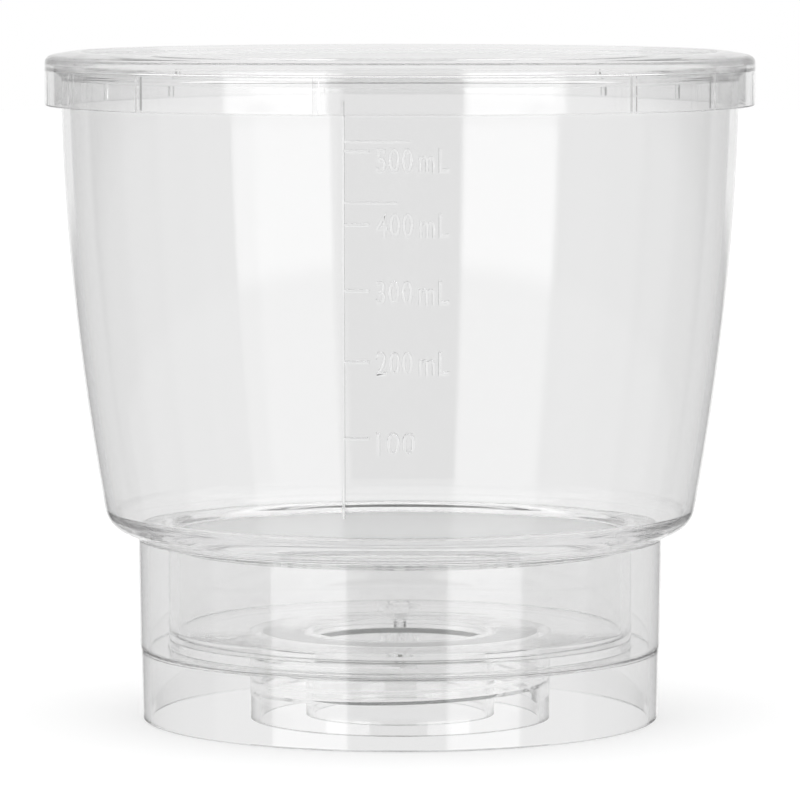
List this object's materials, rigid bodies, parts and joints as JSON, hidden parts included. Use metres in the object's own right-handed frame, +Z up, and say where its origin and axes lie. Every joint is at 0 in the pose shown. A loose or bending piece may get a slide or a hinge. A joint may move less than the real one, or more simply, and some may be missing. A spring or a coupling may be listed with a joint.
{
  "type": "bottle-top vacuum filtration unit",
  "caption": "Clear plastic funnel with a raised scale and a loose round lid, over a white filter membrane on a screw base that has a hose connector for vacuum.",
  "frame": {"origin": "centre of the base rim's underside, on the surface it stands on", "axes": "+Z up along the funnel's axis; the scale faces -Y and the hose connector points to +Y"},
  "size_m": [0.1164, 0.1164, 0.1099],
  "materials": {
    "clear_polystyrene": "clear, polished moulding",
    "filter_membrane": "matt white",
    "silicone": "translucent, satin",
    "wadding": "fibrous white"
  },
  "bodies": {
    "root": {"lid": "clear_polystyrene", "funnel": "clear_polystyrene", "membrane": "filter_membrane", "support_grid": "clear_polystyrene", "base": "clear_polystyrene", "neck_gasket": "silicone", "port_plug": "wadding"}
  },
  "joints": []
}
